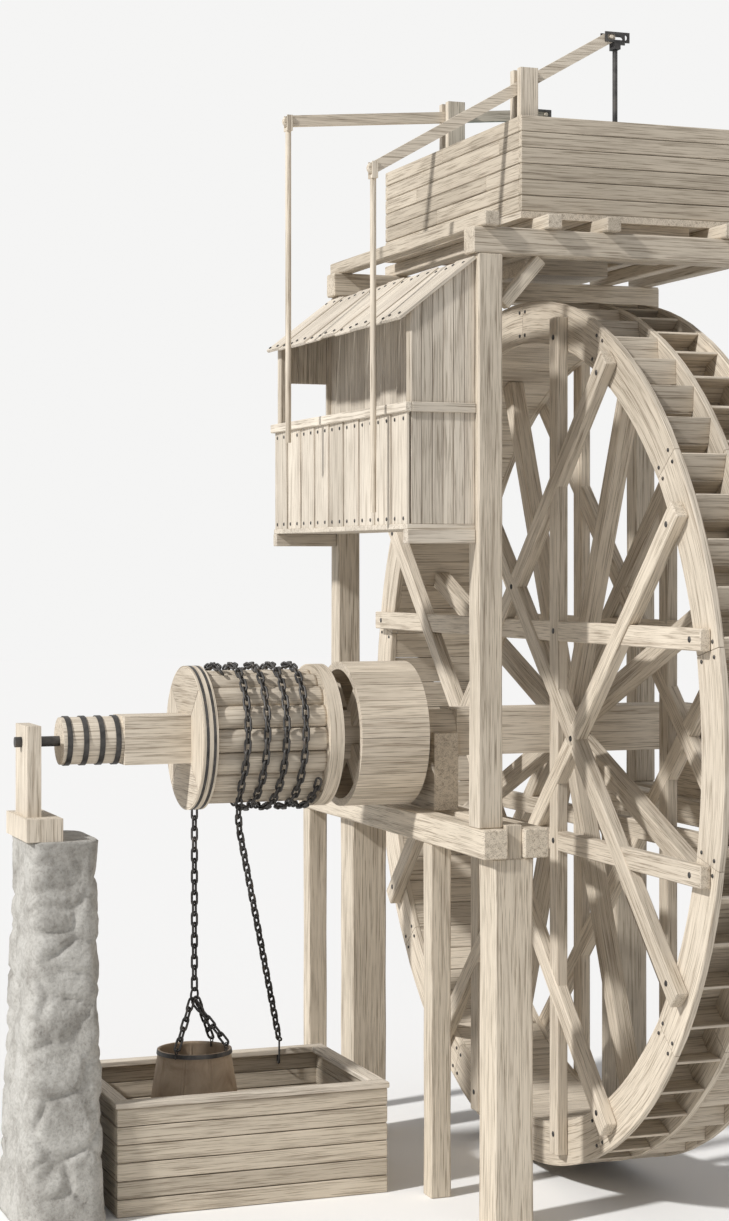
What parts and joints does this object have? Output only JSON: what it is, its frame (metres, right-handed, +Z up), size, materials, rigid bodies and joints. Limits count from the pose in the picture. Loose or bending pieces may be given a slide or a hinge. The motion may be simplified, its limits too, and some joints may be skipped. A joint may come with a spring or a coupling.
{
  "type": "reversible water wheel hoist",
  "caption": "Reversible overshot water wheel on a long axle with a chain hoist drum, brake drum, overhead tank with levers and gates, and an operator's cabin.",
  "frame": {"origin": "on the ground, in the plane of the wheel's middle, straight below the axle", "axes": "+X along the axle from the hoist drum towards the wheel, +Y across the wheel towards the far side, +Z up"},
  "size_m": [9.51, 10.6, 13.7498],
  "materials": {
    "post_timber": "hewn, weathered",
    "wheel_timber": "sawn, weathered",
    "plank_timber": "sawn, weathered",
    "board_timber": "sawn, weathered",
    "wrought_iron": "forged",
    "ox_hide": "rough",
    "rough_stone": "rough stone"
  },
  "bodies": {
    "frame": {"main_pillars": "post_timber", "short_posts": "post_timber", "bearer_beams": "wheel_timber", "neck_bearings": "wheel_timber", "upper_posts": "post_timber", "top_beams": "post_timber", "knee_braces": "post_timber", "tank_floor": "plank_timber", "tank_sides": "plank_timber", "tank_ends": "plank_timber", "tank_joists": "plank_timber", "water_chutes": "plank_timber", "pivot_posts": "wheel_timber", "cabin_floor": "board_timber", "cabin_walls": "board_timber", "cabin_ends": "board_timber", "cabin_studs": "board_timber", "cabin_roof": "board_timber", "shaft_box": "plank_timber", "box_coping": "plank_timber", "stone_pier": "rough_stone", "left_bearing": "wheel_timber", "wound_chain": "wrought_iron", "lifting_chain": "wrought_iron", "hooked_chain": "wrought_iron", "hook": "wrought_iron", "bucket": "ox_hide", "bucket_slings": "wrought_iron"},
    "wheel": {"axle": "wheel_timber", "gudgeon": "wrought_iron", "axle_hoops": "wrought_iron", "drum_heads": "wheel_timber", "drum_staves": "wheel_timber", "brake_drum": "wheel_timber", "left_rim": "wheel_timber", "middle_rim": "wheel_timber", "right_rim": "wheel_timber", "sole_boards": "wheel_timber", "left_buckets": "wheel_timber", "right_buckets": "wheel_timber", "left_arms": "wheel_timber", "right_arms": "wheel_timber", "hub_arms": "wheel_timber"},
    "near_lever": {"near_lever": "wheel_timber"},
    "back_lever": {"back_lever": "wheel_timber"},
    "near_pull_rod": {"near_pull_rod": "wheel_timber"},
    "back_pull_rod": {"back_pull_rod": "wheel_timber"},
    "near_gate": {"near_gate": "wrought_iron"},
    "back_gate": {"back_gate": "wrought_iron"}
  },
  "joints": [
    {"name": "wheel_turn", "type": "hinge", "parent": "frame", "child": "wheel", "pos_m": [0, 0, 5.45], "axis": [1, 0, 0], "continuous": true},
    {"name": "near_lever_swing", "type": "hinge", "parent": "frame", "child": "near_lever", "pos_m": [-1.46, -1.9, 13.06], "axis": [0, -1, 0], "range_deg": [-25, 0]},
    {"name": "back_lever_swing", "type": "hinge", "parent": "frame", "child": "back_lever", "pos_m": [-1.46, 0.35, 13.06], "axis": [0, -1, 0], "range_deg": [0, 25]},
    {"name": "near_rod_hang", "type": "hinge", "parent": "near_lever", "child": "near_pull_rod", "pos_m": [-3.32195, -1.9, 11.985], "axis": [0, -1, 0], "range_deg": [-1, 26]},
    {"name": "back_rod_hang", "type": "hinge", "parent": "back_lever", "child": "back_pull_rod", "pos_m": [-3.60182, 0.35, 12.87262], "axis": [0, -1, 0], "range_deg": [-26, 1]},
    {"name": "near_gate_lift", "type": "slide", "parent": "frame", "child": "near_gate", "axis": [0, 0, 1], "range_m": [-0.5181, 0.002]},
    {"name": "back_gate_lift", "type": "slide", "parent": "frame", "child": "back_gate", "axis": [0, 0, 1], "range_m": [-0.002, 0.5181]}
  ],
  "couplings": [
    {"joint": "near_rod_hang", "follows": "near_lever_swing", "ratio": -1},
    {"joint": "back_rod_hang", "follows": "back_lever_swing", "ratio": -1},
    {"joint": "near_gate_lift", "follows": "near_lever_swing", "m_per_rad": 1.1827},
    {"joint": "back_gate_lift", "follows": "back_lever_swing", "m_per_rad": 1.1827}
  ]
}
